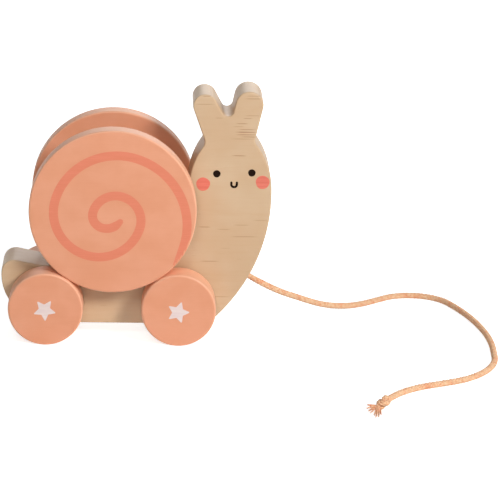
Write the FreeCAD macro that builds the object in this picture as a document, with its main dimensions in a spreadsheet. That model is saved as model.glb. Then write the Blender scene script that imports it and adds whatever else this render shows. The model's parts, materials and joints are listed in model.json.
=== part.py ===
import FreeCAD, Part
import math
import os
import Sketcher
from FreeCAD import Placement, Rotation, Vector

# A wooden pull-along snail: a slab-sawn body on four wheels, with a two-disc shell whose rims rest
# on the wheels and are turned by them, and a braided pull cord.
#
# Row frame, millimetres: +X is the way the toy is pulled, +Y is its left side, +Z is up.  The
# origin is on the flat underside of the body, half way between the wheel axles and between the
# body's two faces.  The floor lies floor_clearance below it.

# ---------------------------------------------------------------- driving dimensions
# alias, value (millimetres or degrees), what it is
DIMENSIONS = [
    ("body_thickness", 28.0, "slab between the two flat faces"),
    ("body_edge_round", 0.9, "sanded edge of the slab"),
    ("floor_clearance", 8.5, "underside of the body above the floor"),
    ("wheel_radius", 22.5, "rolling radius"),
    ("wheel_thickness", 17.2, "across the wheel"),
    ("wheel_inner_face", 14.8, "centre plane to the wheel's inner face"),
    ("wheel_edge_round", 1.4, "rounded rim"),
    ("half_wheelbase", 40.0, "centre plane between the axles to an axle"),
    ("wheel_axle_radius", 4.0, "dowel"),
    ("wheel_bore_depth", 12.0, "blind bore in a wheel"),
    ("shell_radius", 50.0, "shell disc"),
    ("shell_thickness", 12.0, "across a shell disc"),
    ("shell_inner_face", 18.0, "centre plane to a disc's inner face"),
    ("shell_edge_round", 1.2, "rounded rim"),
    ("shell_axle_radius", 5.0, "dowel"),
    ("shell_bore_depth", 8.0, "blind bore in a disc"),
    ("rim_gap", 0.1, "between the shell's rim and a wheel's rim at rest"),
    ("shell_float", 1.5, "how far the shell axle can rise or fall in its slot"),
    ("running_clearance", 0.08, "radial, between a dowel and the body"),
    ("glue_clearance", 0.02, "radial, between glued pieces"),
    ("dowel_end_gap", 0.1, "between a dowel's end and the bottom of its bore"),
    ("dowel_chamfer", 0.6, "on each end of a dowel"),
    # Outline of the body, seen from its right side.
    ("tail_centre_x", -37.2, "centre of the tail's big underside curve"),
    ("tail_radius", 30.0, "tail's big underside curve"),
    ("tail_tip_height", 31.7, "centre of the tail's rounded tip"),
    ("tail_tip_radius", 7.7, "tail's rounded tip"),
    ("tail_slope", 12.0, "fall of the tail's back towards the shell, degrees"),
    ("valley_radius", 10.0, "hollow between tail and hump"),
    ("flank_lean", 10.0, "hump's rear flank from the vertical, degrees"),
    ("hump_radius", 26.0, "hump round the shell axle"),
    ("saddle_radius", 10.0, "hollow between hump and head"),
    ("head_centre_x", 70.0, "head's centre line"),
    ("head_centre_height", 84.6, "height of both side arcs' centres"),
    ("head_half_width", 25.0, "head at its widest"),
    ("head_radius", 47.0, "side arcs of the head"),
    ("neck_radius", 5.0, "hollows between the head and the feelers"),
    ("belly_radius", 108.5, "long curve from the head down to the underside"),
    ("belly_centre_height", 81.7, "centre of that curve"),
    ("toe_radius", 10.0, "corner between belly curve and underside"),
    ("rear_feeler_x", 54.3, "rounded tip of the rear feeler"),
    ("rear_feeler_height", 136.4, "rounded tip of the rear feeler"),
    ("rear_feeler_radius", 7.2, "rounded tip of the rear feeler"),
    ("rear_feeler_lean", 20.0, "its outer side from the vertical, degrees"),
    ("front_feeler_x", 80.7, "rounded tip of the front feeler"),
    ("front_feeler_height", 137.2, "rounded tip of the front feeler"),
    ("front_feeler_radius", 8.3, "rounded tip of the front feeler"),
    ("front_feeler_lean", 12.8, "its outer side from the vertical, degrees"),
    ("notch_x", 67.9, "bottom of the notch between the feelers"),
    ("notch_height", 133.8, "centre of the notch's round bottom"),
    ("notch_radius", 3.5, "notch's round bottom"),
    # Pull cord and its anchorage.
    ("cord_radius", 1.7, "braided cord"),
    ("cord_hole_slope", 29.7, "hole below the horizontal, square to the belly curve, degrees"),
    ("cord_hole_depth", 19.0, "blind hole in the belly"),
    ("plug_radius", 3.0, "hole, filled by the plug and the knot behind it"),
    ("plug_length", 9.0, "bored plug that holds the knot in"),
    ("plug_recess", 0.4, "plug's mouth below the belly curve"),
    ("plug_cord_clearance", 0.1, "radial, between plug and cord"),
    ("inner_knot_radius", 2.6, "knot behind the plug"),
    ("inner_knot_depth", 12.6, "centre of that knot below the belly curve"),
    ("stub_length", 4.0, "cord that stands straight out of the plug"),
    ("cord_hinge_gap", 0.35, "end of a cord length to the bend between two lengths"),
    ("cord_end_round", 1.53, "rounded ends of a cord length"),
    ("end_knot_length", 9.0, "overhand knot near the free end"),
    ("end_knot_radius", 3.6, "overhand knot near the free end"),
    ("end_knot_overlap", 1.5, "how far the cord and the tassel run into the knot"),
    ("tassel_length", 9.0, "frayed end beyond the knot"),
    ("tassel_radius", 3.4, "widest part of the frayed end"),
]

# The cord is one piece.  It is drawn as lengths that turn against each other, each a straight
# stretch and then an arc: name, straight, arc length, turn in degrees (positive to the left, or
# upwards for the length that comes down to the floor).
CORD_LENGTHS = [
    ("cord_lead", 1.8, 27.8, 35.5),
    ("cord_drop", 19.8, 53.5, 23.79),
    ("cord_far_bend", 12.9, 47.7, -105.2),
    ("cord_far_side", 3.0, 45.2, -13.9),
    ("cord_near_side", 3.0, 40.0, -13.6),
    ("cord_near_bend", 13.2, 57.7, -62.0),
    ("cord_tail", 15.0, 42.5, 42.4),
]
FALLING_LENGTH = "cord_drop"
KNOTTED_LENGTH = "cord_tail"
LYING_ON_FLOOR = ("wheel_", "cord_far_", "cord_near_", "cord_tail")
FLOOR_TOLERANCE = 0.15

# How near two lengths must be to count as the same, how steep the cord may be and still lie flat,
# and the least that a cut must take away (cubic millimetres).
SAME = 1e-4
FLAT = 0.01
LEAST_CUT = 1.0

# Heights above the underside.  The shell's rims rest on the wheels' rims.
WHEEL_AXLE_HEIGHT = "wheel_radius - floor_clearance"
SHELL_AXLE_HEIGHT = (
    "wheel_radius - floor_clearance + sqrt( ( shell_radius + wheel_radius + rim_gap ) ^ 2"
    " - half_wheelbase ^ 2 )"
)

# The two ways a wheel or a disc is put on, and the sketcher's numbers for an arc's points.
RIGHT_SIDE = Rotation(Vector(0, 0, 1), 0)
LEFT_SIDE = Rotation(Vector(0, 0, 1), 180)
START, END, CENTRE = 1, 2, 3

doc = FreeCAD.newDocument("pull_along_snail")
sheet = doc.addObject("Spreadsheet::Sheet", "Dimensions")


# ---------------------------------------------------------------- sheet and small helpers
def fill_sheet():
    """Writes every driving dimension to its own row, with its name as the cell's alias."""
    rows = list(DIMENSIONS)
    for name, straight, arc, turn in CORD_LENGTHS:
        rows.append((name + "_straight", straight, "straight stretch"))
        rows.append((name + "_arc", arc, "length of its arc"))
        rows.append((name + "_turn", turn, "turn of its arc, degrees"))
    for number, (alias, value, note) in enumerate(rows, start=1):
        sheet.set(f"A{number}", alias)
        sheet.set(f"B{number}", str(value))
        sheet.set(f"C{number}", note)
        sheet.setAlias(f"B{number}", alias)
    doc.recompute()


def size(alias):
    """A driving dimension's value."""
    return float(sheet.get(alias))


def cell(expression):
    """The expression with every word that is an alias turned into a reference to its cell."""
    words = expression.split(" ")
    return " ".join("Dimensions." + w if sheet.getCellFromAlias(w) else w for w in words)


def bind(thing, prop, expression):
    thing.setExpression(prop, cell(expression))


def value_of(expression):
    """An expression's value now, in millimetres or radians."""
    result = sheet.evalExpression(cell(expression))
    is_angle = hasattr(result, "Unit") and result.Unit == FreeCAD.Units.Angle
    return math.radians(result.Value) if is_angle else float(result)


def new_body(name):
    body = doc.addObject("PartDesign::Body", name)
    body.Label = name
    return body


def new_sketch(body, name, role):
    """A sketch on one of the body's own origin planes."""
    sketch = body.newObject("Sketcher::SketchObject", name)
    plane = next(p for p in body.Origin.OriginFeatures if p.Role == role)
    sketch.AttachmentSupport = [(plane, "")]
    sketch.MapMode = "FlatFace"
    return sketch


def datum(sketch, name, kind, where, expression):
    """A dimension in a sketch, bound to the sheet."""
    index = sketch.addConstraint(Sketcher.Constraint(kind, *where, value_of(expression)))
    sketch.renameConstraint(index, name)
    bind(sketch, "Constraints." + name, expression)


def add_circle(sketch, name, x, z, radius):
    """A circle whose centre and radius are expressions."""
    index = sketch.addGeometry(Part.Circle(Vector(1, 1, 0), Vector(0, 0, 1), 1.0), False)
    if (x, z) == ("0", "0"):
        sketch.addConstraint(Sketcher.Constraint("Coincident", index, CENTRE, -1, START))
    else:
        datum(sketch, name + "_x", "DistanceX", (index, CENTRE), x)
        datum(sketch, name + "_z", "DistanceY", (index, CENTRE), z)
    datum(sketch, name + "_radius", "Radius", (index,), radius)


def both_ways(feature):
    """Makes a pad or a pocket run equally to both sides of its sketch."""
    feature.SideType = "Symmetric"


def round_edges(body, base, edges, radius, kind="PartDesign::Fillet"):
    """Rounds (or chamfers) the named edges or faces of a feature."""
    doc.recompute()
    feature = body.newObject(kind, "Edges")
    feature.Base = (base, edges)
    bind(feature, "Size" if kind == "PartDesign::Chamfer" else "Radius", radius)
    return feature


def circular_edges(feature, radius):
    """Names of a feature's full circular edges of that radius."""
    doc.recompute()
    return [
        f"Edge{n}"
        for n, edge in enumerate(feature.Shape.Edges, start=1)
        if isinstance(edge.Curve, Part.Circle) and abs(edge.Curve.Radius - radius) < SAME
    ]


def faces_across_y(feature):
    """Names of the two flat faces of a slab that lies in the XZ plane."""
    doc.recompute()
    return [
        f"Face{n}"
        for n, face in enumerate(feature.Shape.Faces, start=1)
        if isinstance(face.Surface, Part.Plane) and abs(face.normalAt(0, 0).y) > 1 - SAME
    ]


def volume(feature):
    doc.recompute()
    return feature.Shape.Volume


def cuts(feature, base):
    """Stops if a cutting feature took nothing away."""
    if volume(feature) > base.Shape.Volume - LEAST_CUT:
        raise RuntimeError(f"{feature.Name} cuts nothing")
    return feature


# ---------------------------------------------------------------- body
def arc_guess(sketch, x, z, radius, start, end):
    circle = Part.Circle(Vector(x, z, 0), Vector(0, 0, 1), radius)
    return sketch.addGeometry(Part.ArcOfCircle(circle, math.radians(start), math.radians(end)), False)


def line_guess(sketch, x1, z1, x2, z2):
    return sketch.addGeometry(Part.LineSegment(Vector(x1, z1, 0), Vector(x2, z2, 0)), False)


def body_outline(sketch):
    """The snail's outline as lines and arcs that touch smoothly, anticlockwise from the underside.

    The numbers in the guesses only tell the solver which of the tangent circles is meant: the
    radii, centres and leans come from the sheet.
    """
    underside = line_guess(sketch, -37.2, 0.0, 54.0, 0.0)
    toe = arc_guess(sketch, 54.0, 10.0, 10.0, -90.0, -49.0)
    belly = arc_guess(sketch, -13.4, 81.7, 108.5, -49.0, 2.7)
    face = arc_guess(sketch, 48.0, 84.6, 47.0, 2.7, 37.0)
    front_neck = arc_guess(sketch, 89.6, 115.9, 5.0, 167.2, 217.0)
    front_side = line_guess(sketch, 84.7, 117.0, 88.8, 135.1)
    front_tip = arc_guess(sketch, 80.7, 136.9, 8.3, -12.8, 188.0)
    notch_front = line_guess(sketch, 72.5, 135.7, 71.2, 133.2)
    notch = arc_guess(sketch, 67.4, 133.7, 3.8, 206.0, 352.0)
    notch_rear = line_guess(sketch, 64.0, 132.0, 60.8, 138.7)
    rear_tip = arc_guess(sketch, 54.3, 136.0, 7.2, 26.0, 200.0)
    rear_side = line_guess(sketch, 47.5, 133.5, 54.0, 115.9)
    rear_neck = arc_guess(sketch, 49.3, 114.2, 5.0, -34.7, 20.0)
    nape = arc_guess(sketch, 92.0, 84.6, 47.0, 145.3, 181.7)
    saddle = arc_guess(sketch, 35.0, 82.9, 10.0, 193.3, 361.7)
    hump = arc_guess(sketch, 0.0, 74.6, 26.0, 13.3, 170.0)
    flank = line_guess(sketch, -25.6, 79.1, -31.7, 44.3)
    valley = arc_guess(sketch, -41.6, 46.0, 10.0, 258.0, 350.0)
    back = line_guess(sketch, -43.7, 36.2, -57.8, 39.2)
    tail_tip = arc_guess(sketch, -59.4, 31.7, 7.7, 78.0, 175.6)
    tail = arc_guess(sketch, -37.2, 30.0, 30.0, 175.6, 270.0)

    loop = [underside, toe, belly, face, front_neck, front_side, front_tip, notch_front, notch,
            notch_rear, rear_tip, rear_side, rear_neck, nape, saddle, hump, flank, valley, back,
            tail_tip, tail]
    hollows = [front_neck, notch, rear_neck, saddle, valley]
    for this, following in zip(loop, loop[1:] + loop[:1]):
        leaves_by = START if this in hollows else END
        enters_by = END if following in hollows else START
        sketch.addConstraint(Sketcher.Constraint("Tangent", this, leaves_by, following, enters_by))

    sketch.addConstraint(Sketcher.Constraint("PointOnObject", underside, START, -1))
    sketch.addConstraint(Sketcher.Constraint("Horizontal", underside))
    radii = {
        "toe_radius": [toe], "belly_radius": [belly], "head_radius": [face, nape],
        "neck_radius": [front_neck, rear_neck], "front_feeler_radius": [front_tip],
        "notch_radius": [notch], "rear_feeler_radius": [rear_tip], "saddle_radius": [saddle],
        "hump_radius": [hump], "valley_radius": [valley], "tail_tip_radius": [tail_tip],
        "tail_radius": [tail],
    }
    for alias, arcs in radii.items():
        for arc in arcs:
            datum(sketch, f"{alias}_{arc}", "Radius", (arc,), alias)
    places = [
        (tail, "DistanceX", "tail_centre_x"),
        (tail_tip, "DistanceY", "tail_tip_height"),
        (belly, "DistanceY", "belly_centre_height"),
        (face, "DistanceX", "head_centre_x + head_half_width - head_radius"),
        (face, "DistanceY", "head_centre_height"),
        (nape, "DistanceX", "head_centre_x - head_half_width + head_radius"),
        (nape, "DistanceY", "head_centre_height"),
        (front_tip, "DistanceX", "front_feeler_x"),
        (front_tip, "DistanceY", "front_feeler_height"),
        (rear_tip, "DistanceX", "rear_feeler_x"),
        (rear_tip, "DistanceY", "rear_feeler_height"),
        (notch, "DistanceX", "notch_x"),
        (notch, "DistanceY", "notch_height"),
        (hump, "DistanceY", SHELL_AXLE_HEIGHT),
    ]
    for arc, kind, expression in places:
        datum(sketch, f"{kind}_{arc}", kind, (arc, CENTRE), expression)
    sketch.addConstraint(Sketcher.Constraint("PointOnObject", hump, CENTRE, -2))
    leans = [
        (front_side, "90 deg - front_feeler_lean * 1 deg"),
        (rear_side, "-90 deg + rear_feeler_lean * 1 deg"),
        (flank, "-90 deg - flank_lean * 1 deg"),
        (back, "180 deg - tail_slope * 1 deg"),
    ]
    for line, expression in leans:
        datum(sketch, f"lean_{line}", "Angle", (line,), expression)


def make_body():
    """The wooden slab with two axle bores, a slot for the shell axle and the cord's blind hole."""
    body = new_body("body")
    outline = new_sketch(body, "BodyOutline", "XZ_Plane")
    body_outline(outline)
    slab = body.newObject("PartDesign::Pad", "Slab")
    slab.Profile = outline
    both_ways(slab)
    bind(slab, "Length", "body_thickness")
    rounded = round_edges(body, slab, faces_across_y(slab), "body_edge_round")

    bores = new_sketch(body, "AxleBores", "XZ_Plane")
    for name, x in (("front", "half_wheelbase"), ("rear", "-1 * half_wheelbase")):
        add_circle(bores, name, x, WHEEL_AXLE_HEIGHT, "wheel_axle_radius + running_clearance")
    drilled = body.newObject("PartDesign::Pocket", "AxleBoresCut")
    drilled.Profile = bores
    drilled.Type = "ThroughAll"
    both_ways(drilled)
    cuts(drilled, rounded)

    slot = new_sketch(body, "ShellSlot", "XZ_Plane")
    shell_slot(slot)
    slotted = body.newObject("PartDesign::Pocket", "ShellSlotCut")
    slotted.Profile = slot
    slotted.Type = "ThroughAll"
    both_ways(slotted)
    cuts(slotted, drilled)

    hole = body.newObject("PartDesign::SubtractiveCylinder", "CordHole")
    bind(hole, "Radius", "plug_radius")
    bind(hole, "Height", "2 * cord_hole_depth")
    mouth, outward = cord_mouth()
    hole.Placement = along(mouth - outward * size("cord_hole_depth"), outward, "Z")
    cuts(hole, slotted)
    return body


def shell_slot(sketch):
    """An upright slot that guides the shell axle and lets it settle until the rims touch."""
    top = arc_guess(sketch, 0.0, 76.0, 5.1, 0.0, 180.0)
    left = line_guess(sketch, -5.1, 76.0, -5.1, 73.0)
    bottom = arc_guess(sketch, 0.0, 73.0, 5.1, 180.0, 360.0)
    right = line_guess(sketch, 5.1, 73.0, 5.1, 76.0)
    loop = [top, left, bottom, right]
    for this, following in zip(loop, loop[1:] + loop[:1]):
        sketch.addConstraint(Sketcher.Constraint("Tangent", this, END, following, START))
    sketch.addConstraint(Sketcher.Constraint("Vertical", left))
    sketch.addConstraint(Sketcher.Constraint("Equal", top, bottom))
    sketch.addConstraint(Sketcher.Constraint("PointOnObject", top, CENTRE, -2))
    radius = "shell_axle_radius + running_clearance"
    datum(sketch, "slot_radius", "Radius", (top,), radius)
    above = SHELL_AXLE_HEIGHT + " + shell_float"
    below = SHELL_AXLE_HEIGHT + " - shell_float"
    datum(sketch, "slot_top", "DistanceY", (top, CENTRE), above)
    datum(sketch, "slot_bottom", "DistanceY", (bottom, CENTRE), below)


# ---------------------------------------------------------------- wheels, discs and dowels
def turned_disc(name, prefix, bore_radius):
    """A disc in the XZ plane: inner face at y = 0, outer face towards -Y, blind bore inside."""
    body = new_body(name)
    rim = new_sketch(body, name + "_rim", "XZ_Plane")
    add_circle(rim, "rim", "0", "0", prefix + "_radius")
    blank = body.newObject("PartDesign::Pad", name + "_blank")
    blank.Profile = rim
    bind(blank, "Length", prefix + "_thickness")
    rims = circular_edges(blank, size(prefix + "_radius"))
    rounded = round_edges(body, blank, rims, prefix + "_edge_round")
    bore = new_sketch(body, name + "_bore", "XZ_Plane")
    add_circle(bore, "bore", "0", "0", bore_radius + " + glue_clearance")
    bored = body.newObject("PartDesign::Pocket", name + "_bored")
    bored.Profile = bore
    bored.Reversed = True
    bind(bored, "Length", prefix + "_bore_depth")
    cuts(bored, rounded)
    return body


def put_disc(body, prefix, x, height, side):
    """Sets a disc's inner face against its side of the toy."""
    body.Placement = Placement(Vector(0, 0, 0), side)
    reach = prefix + "_inner_face"
    bind(body, "Placement.Base.x", x)
    bind(body, "Placement.Base.y", "-1 * " + reach if side is RIGHT_SIDE else reach)
    bind(body, "Placement.Base.z", height)


def make_wheels():
    for end, x in (("front", "half_wheelbase"), ("rear", "-1 * half_wheelbase")):
        for hand, side in (("left", LEFT_SIDE), ("right", RIGHT_SIDE)):
            wheel = turned_disc(f"wheel_{end}_{hand}", "wheel", "wheel_axle_radius")
            put_disc(wheel, "wheel", x, WHEEL_AXLE_HEIGHT, side)


def make_shell_discs():
    for hand, side in (("left", LEFT_SIDE), ("right", RIGHT_SIDE)):
        disc = turned_disc(f"shell_disc_{hand}", "shell", "shell_axle_radius")
        put_disc(disc, "shell", "0", SHELL_AXLE_HEIGHT, side)


def make_dowel(name, radius, half_length, x, height):
    """A dowel along Y with chamfered ends; it stops just short of the blind bores' bottoms."""
    body = new_body(name)
    section = new_sketch(body, name + "_section", "XZ_Plane")
    add_circle(section, "section", "0", "0", radius)
    rod = body.newObject("PartDesign::Pad", name + "_rod")
    rod.Profile = section
    both_ways(rod)
    bind(rod, "Length", f"2 * ( {half_length} - dowel_end_gap )")
    ends = circular_edges(rod, size(radius))
    round_edges(body, rod, ends, "dowel_chamfer", "PartDesign::Chamfer")
    bind(body, "Placement.Base.x", x)
    bind(body, "Placement.Base.z", height)


def make_axles():
    wheel_reach = "wheel_inner_face + wheel_bore_depth"
    shell_reach = "shell_inner_face + shell_bore_depth"
    rear_x = "-1 * half_wheelbase"
    make_dowel("front_axle", "wheel_axle_radius", wheel_reach, "half_wheelbase", WHEEL_AXLE_HEIGHT)
    make_dowel("rear_axle", "wheel_axle_radius", wheel_reach, rear_x, WHEEL_AXLE_HEIGHT)
    make_dowel("shell_axle", "shell_axle_radius", shell_reach, "0", SHELL_AXLE_HEIGHT)


# ---------------------------------------------------------------- pull cord
def cord_mouth():
    """Where the cord's hole meets the belly curve, and the hole's outward direction."""
    slope = math.radians(size("cord_hole_slope"))
    outward = Vector(math.cos(slope), 0, -math.sin(slope))
    face_x = size("head_centre_x") + size("head_half_width") - size("head_radius")
    rise = size("head_centre_height") - size("belly_centre_height")
    reach = size("belly_radius") - size("head_radius")
    belly_x = face_x - math.sqrt(reach**2 - rise**2)
    centre = Vector(belly_x, 0, size("belly_centre_height"))
    return centre + outward * size("belly_radius"), outward


def along(place, direction, axis):
    """A placement at place whose local axis (X or Z) runs along direction."""
    local = Vector(1, 0, 0) if axis == "X" else Vector(0, 0, 1)
    return Placement(place, Rotation(local, direction))


def add_primitive(body, kind, name, sizes, place, direction):
    """A ball, cylinder or cone that starts at place, with its own axis along direction."""
    feature = body.newObject("PartDesign::" + kind, name)
    for prop, expression in sizes.items():
        bind(feature, prop, expression)
    feature.Placement = along(place, direction, "Z")


def make_plug():
    """The bored plug that fills the cord's hole and keeps the knot behind it."""
    body = new_body("cord_plug")
    mouth, outward = cord_mouth()
    ring = new_sketch(body, "PlugSection", "XY_Plane")
    add_circle(ring, "outside", "0", "0", "plug_radius - glue_clearance")
    add_circle(ring, "bore", "0", "0", "cord_radius + plug_cord_clearance")
    pad = body.newObject("PartDesign::Pad", "PlugPad")
    pad.Profile = ring
    bind(pad, "Length", "plug_length")
    depth = size("plug_recess") + size("plug_length")
    body.Placement = along(mouth - outward * depth, outward, "Z")


def make_anchor():
    """The cord's end inside the body: a knot behind the plug and a short straight stub."""
    body = new_body("cord_anchor")
    mouth, outward = cord_mouth()
    local_x = Vector(1, 0, 0)
    stub = {"Radius": "cord_radius", "Height": "inner_knot_depth + stub_length - cord_hinge_gap"}
    add_primitive(body, "AdditiveCylinder", "Stub", stub, Vector(0, 0, 0), local_x)
    knot = {"Radius": "inner_knot_radius"}
    add_primitive(body, "AdditiveSphere", "InnerKnot", knot, Vector(0, 0, 0), local_x)
    body.Placement = along(mouth - outward * size("inner_knot_depth"), outward, "X")


def path_sketch(body, name):
    """A straight stretch along X and then an arc in the XY plane, short of the bends by a gap."""
    turn = math.radians(size(name + "_turn"))
    radius = abs(size(name + "_arc") / turn)
    straight = size(name + "_straight")
    gap = size("cord_hinge_gap")
    path = new_sketch(body, name + "_path", "XY_Plane")
    run = line_guess(path, gap, 0.0, straight, 0.0)
    sweep = math.degrees(abs(turn) - gap / radius)
    if turn > 0:
        bend = arc_guess(path, straight, radius, radius, -90.0, -90.0 + sweep)
    else:
        bend = arc_guess(path, straight, -radius, radius, 90.0 - sweep, 90.0)
    near = START if turn > 0 else END
    angle_rule = f"abs( {name}_turn ) * 1 deg"
    sweep_rule = f"{angle_rule} * ( 1 - cord_hinge_gap / {name}_arc )"
    radius_rule = f"{name}_arc * 180 / ( pi * abs( {name}_turn ) )"
    path.addConstraint(Sketcher.Constraint("PointOnObject", run, START, -1))
    path.addConstraint(Sketcher.Constraint("Horizontal", run))
    path.addConstraint(Sketcher.Constraint("Tangent", run, END, bend, near))
    datum(path, "start", "DistanceX", (run, START), "cord_hinge_gap")
    datum(path, "straight", "DistanceX", (run, END), name + "_straight")
    datum(path, "bend_radius", "Radius", (bend,), radius_rule)
    datum(path, "bend_sweep", "Angle", (bend,), sweep_rule)
    return path


def cord_length(name, placement):
    """One length of cord swept along its path; its ends are rounded where it meets a neighbour."""
    body = new_body(name)
    path = path_sketch(body, name)
    section = new_sketch(body, name + "_section", "YZ_Plane")
    bind(section, "AttachmentOffset.Base.z", "cord_hinge_gap")
    add_circle(section, "section", "0", "0", "cord_radius")
    sweep = body.newObject("PartDesign::AdditivePipe", name + "_sweep")
    sweep.Profile = section
    sweep.Spine = (path, ["Edge1", "Edge2"])
    ends = circular_edges(sweep, size("cord_radius"))
    if name == KNOTTED_LENGTH:
        doc.recompute()
        ends = [e for e in ends if sweep.Shape.getElement(e).CenterOfMass.x < size("cord_radius")]
    round_edges(body, sweep, ends, "cord_end_round")
    if name == KNOTTED_LENGTH:
        end_knot(body, name)
    body.Placement = placement


def end_knot(body, name):
    """The overhand knot and the frayed tassel at the free end, both lying on the floor."""
    finish = stretch_end(name)
    direction = finish.Rotation.multVec(Vector(1, 0, 0))
    overlap = size("end_knot_overlap")
    knot = {"Radius1": "end_knot_length / 2", "Radius2": "end_knot_radius",
            "Radius3": "end_knot_radius"}
    centre = finish.Base + direction * (size("end_knot_length") / 2 - overlap)
    centre.z = size("end_knot_radius") - size("cord_radius")
    add_primitive(body, "AdditiveEllipsoid", "EndKnot", knot, centre, direction)
    tassel = {"Radius1": "cord_radius", "Radius2": "tassel_radius", "Height": "tassel_length"}
    start = finish.Base + direction * (size("end_knot_length") - 2 * overlap)
    start.z = size("tassel_radius") - size("cord_radius")
    add_primitive(body, "AdditiveCone", "Tassel", tassel, start, direction)


def stretch_end(name):
    """The far end of a cord length in its own frame, as a placement whose X runs on."""
    turn = math.radians(size(name + "_turn"))
    radius = size(name + "_arc") / turn
    x = size(name + "_straight") + radius * math.sin(turn)
    y = radius * (1 - math.cos(turn))
    return Placement(Vector(x, y, 0), Rotation(Vector(0, 0, 1), math.degrees(turn)))


def facing(place, direction, turn_axis):
    """A frame with X along the cord and Z along the axis it turns about."""
    rotation = Rotation(direction, turn_axis.cross(direction), turn_axis, "XZY")
    return Placement(place, rotation)


def make_cord():
    """Lays the lengths end to end: out of the hole, round to the left, down, and over the floor."""
    up = Vector(0, 0, 1)
    mouth, outward = cord_mouth()
    place = mouth + outward * size("stub_length")
    direction = outward
    turn_axis = Vector(0, 1, 0).cross(outward).negative()
    for name, _, _, _ in CORD_LENGTHS:
        if name == FALLING_LENGTH:
            turn_axis = direction.cross(up).normalize()
        elif direction.z > -FLAT:
            turn_axis = up
        frame = facing(place, direction, turn_axis)
        cord_length(name, frame)
        finish = frame.multiply(stretch_end(name))
        place = finish.Base
        direction = finish.Rotation.multVec(Vector(1, 0, 0))


# ---------------------------------------------------------------- checks and export
def sub_parts():
    return [o for o in doc.Objects if o.isDerivedFrom("PartDesign::Body")]


def check():
    """Stops on any failed feature or bad solid, or if a piece is below or floats off the floor."""
    for thing in doc.Objects:
        if {"Invalid", "Error"} & set(thing.State):
            raise RuntimeError(f"{thing.Label}: {thing.State}")
    for part in sub_parts():
        if part.Shape.isNull() or not part.Shape.isValid() or len(part.Shape.Solids) != 1:
            raise RuntimeError(f"{part.Label} is not one valid solid")
        above_floor = part.Shape.optimalBoundingBox().ZMin + size("floor_clearance")
        floats = part.Label.startswith(LYING_ON_FLOOR) and above_floor > FLOOR_TOLERANCE
        if floats or above_floor < 0 and not math.isclose(above_floor, 0, abs_tol=SAME):
            raise RuntimeError(f"{part.Label} is {above_floor:.3f} above the floor")


def export():
    os.makedirs("parts", exist_ok=True)
    for part in sub_parts():
        part.Shape.exportStep(f"parts/{part.Label}.step")


fill_sheet()
make_body()
make_wheels()
make_shell_discs()
make_axles()
make_plug()
make_anchor()
make_cord()
doc.recompute()
check()
export()
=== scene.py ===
import json
import math
import random

import bpy
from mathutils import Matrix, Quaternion, Vector
from mathutils.bvhtree import BVHTree


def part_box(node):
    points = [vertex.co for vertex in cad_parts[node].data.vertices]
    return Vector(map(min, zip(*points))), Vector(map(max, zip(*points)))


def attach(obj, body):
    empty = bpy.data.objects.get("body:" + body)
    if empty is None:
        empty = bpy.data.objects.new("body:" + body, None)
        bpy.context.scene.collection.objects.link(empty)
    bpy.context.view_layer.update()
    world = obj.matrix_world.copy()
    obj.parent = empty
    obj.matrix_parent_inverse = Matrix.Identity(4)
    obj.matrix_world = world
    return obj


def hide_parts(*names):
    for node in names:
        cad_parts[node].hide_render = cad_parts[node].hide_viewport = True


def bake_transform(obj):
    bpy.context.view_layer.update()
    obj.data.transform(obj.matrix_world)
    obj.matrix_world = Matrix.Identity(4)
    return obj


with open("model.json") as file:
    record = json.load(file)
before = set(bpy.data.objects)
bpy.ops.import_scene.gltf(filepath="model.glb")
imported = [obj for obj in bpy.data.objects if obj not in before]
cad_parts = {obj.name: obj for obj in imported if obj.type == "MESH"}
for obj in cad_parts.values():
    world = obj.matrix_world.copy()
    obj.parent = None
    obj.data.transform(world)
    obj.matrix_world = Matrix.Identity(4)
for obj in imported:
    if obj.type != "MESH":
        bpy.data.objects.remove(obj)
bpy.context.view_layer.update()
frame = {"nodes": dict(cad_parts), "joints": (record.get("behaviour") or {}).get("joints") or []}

# A wooden pull-along snail.  The frame gives its body, wheels, shell discs and dowels, which get
# wood and paint materials here.  The prints are thin layers of paint on them, and the plain cord of
# the frame is replaced by a braided one with a tied knot and a frayed end.
#
# Everything is in metres in the row frame: +X is the way the toy is pulled, +Y its left, +Z up.
MM = 0.001

# ---------------------------------------------------------------- sizes from the frame
UP = Vector((0, 0, 1))
NODES = frame["nodes"]
JOINTS = {joint["name"]: joint for joint in frame["joints"]}
WHEEL_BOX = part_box("wheel_front_right")
SHELL_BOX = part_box("shell_disc_right")
BODY_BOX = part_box("body")
FLOOR_HEIGHT = WHEEL_BOX[0].z
SHELL_CENTRE = Vector(JOINTS["shell_spin"]["pos_m"])
AXLE_CENTRES = {
    "front": Vector(JOINTS["front_axle_spin"]["pos_m"]),
    "rear": Vector(JOINTS["rear_axle_spin"]["pos_m"]),
}
SHELL_RADIUS = SHELL_CENTRE.z - SHELL_BOX[0].z
WHEEL_RADIUS = AXLE_CENTRES["front"].z - WHEEL_BOX[0].z
SHELL_ROUND = 1.2 * MM
WHEEL_ROUND = 1.4 * MM

# ---------------------------------------------------------------- prints
PRINT_RAISE = 0.05 * MM
PRINT_SINK = 0.10 * MM
SPIRAL_WIDTH = 5.4 * MM
SPIRAL_START = Vector((5.8, -4.2)) * MM
SPIRAL_FIRST_HEADING = math.radians(-130)
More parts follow.
